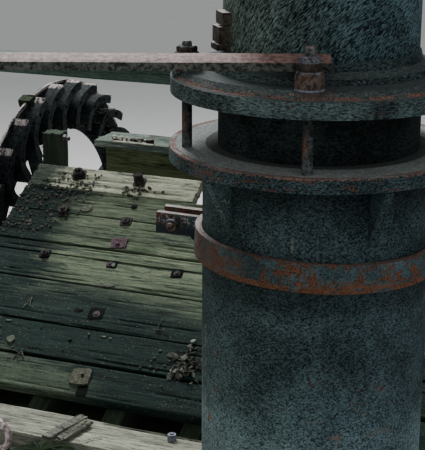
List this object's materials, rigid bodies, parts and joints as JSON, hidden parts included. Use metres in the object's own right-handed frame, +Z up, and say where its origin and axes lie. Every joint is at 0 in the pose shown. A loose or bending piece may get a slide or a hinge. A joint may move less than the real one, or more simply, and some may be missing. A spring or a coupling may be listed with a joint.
{
  "type": "water wheel",
  "caption": "Derelict iron water wheel with curved vanes beside a sloping timber apron, with an iron riser pipe, stuffing box gland, clamp hoop and tie bar.",
  "frame": {"origin": "centre of the riser pipe's foot, on the ground", "axes": "+Z up, +X along the boards and the wheel's axle, +Y from the pipe towards the wheel"},
  "size_m": [3.17, 3.9426, 2.98],
  "materials": {
    "pipe_iron": "pitted old paint with rust",
    "packing": "greased hemp",
    "stud_iron": "rusty",
    "hoop_iron": "flaking rust",
    "bar_iron": "matt pinkish rust",
    "deck_wood": "weathered, algae stained",
    "sill_wood": "bleached",
    "cap_wood": "weathered grey",
    "frame_wood": "dark wet timber",
    "mossy_wood": "mossy",
    "wheel_iron": "wet dark iron with rusty edges",
    "axle_iron": "rusty"
  },
  "bodies": {
    "frame": {"riser_pipe": "pipe_iron", "upper_pipe": "pipe_iron", "gland": "pipe_iron", "side_lug": "pipe_iron", "packing_ring": "packing", "gland_stud_1": "stud_iron", "gland_stud_2": "stud_iron", "gland_stud_3": "stud_iron", "gland_stud_4": "stud_iron", "gland_stud_5": "stud_iron", "hoop_bolts": "stud_iron", "anchor_bolt": "stud_iron", "corner_bolt": "stud_iron", "hoop_front": "hoop_iron", "hoop_back": "hoop_iron", "tie_bar": "bar_iron", "apron_boards": "deck_wood", "sill_beam": "sill_wood", "head_cap": "cap_wood", "anchor_post": "frame_wood", "anchor_rail": "frame_wood", "anchor_brace": "frame_wood", "apron_bearers": "frame_wood", "front_cross_beam": "frame_wood", "rear_cross_beam": "frame_wood", "front_posts": "frame_wood", "rear_posts": "frame_wood", "sill_posts": "frame_wood", "head_beam": "frame_wood", "head_posts": "frame_wood", "corner_post": "frame_wood", "rear_rail": "frame_wood", "rail_post_left": "frame_wood", "rail_post_right": "frame_wood", "bearing_beam_left": "frame_wood", "bearing_beam_right": "frame_wood", "bearing_posts_left": "frame_wood", "bearing_posts_right": "frame_wood", "fender_pile": "mossy_wood", "bearing_left": "axle_iron", "bearing_right": "axle_iron"},
    "wheel": {"wheel_ring": "wheel_iron", "wheel_vanes": "wheel_iron", "wheel_arms": "wheel_iron", "wheel_axle": "axle_iron"}
  },
  "joints": [
    {"name": "wheel_spin", "type": "hinge", "parent": "frame", "child": "wheel", "pos_m": [-1.98, 2.2, 0.985], "axis": [1, 0, 0], "continuous": true}
  ]
}
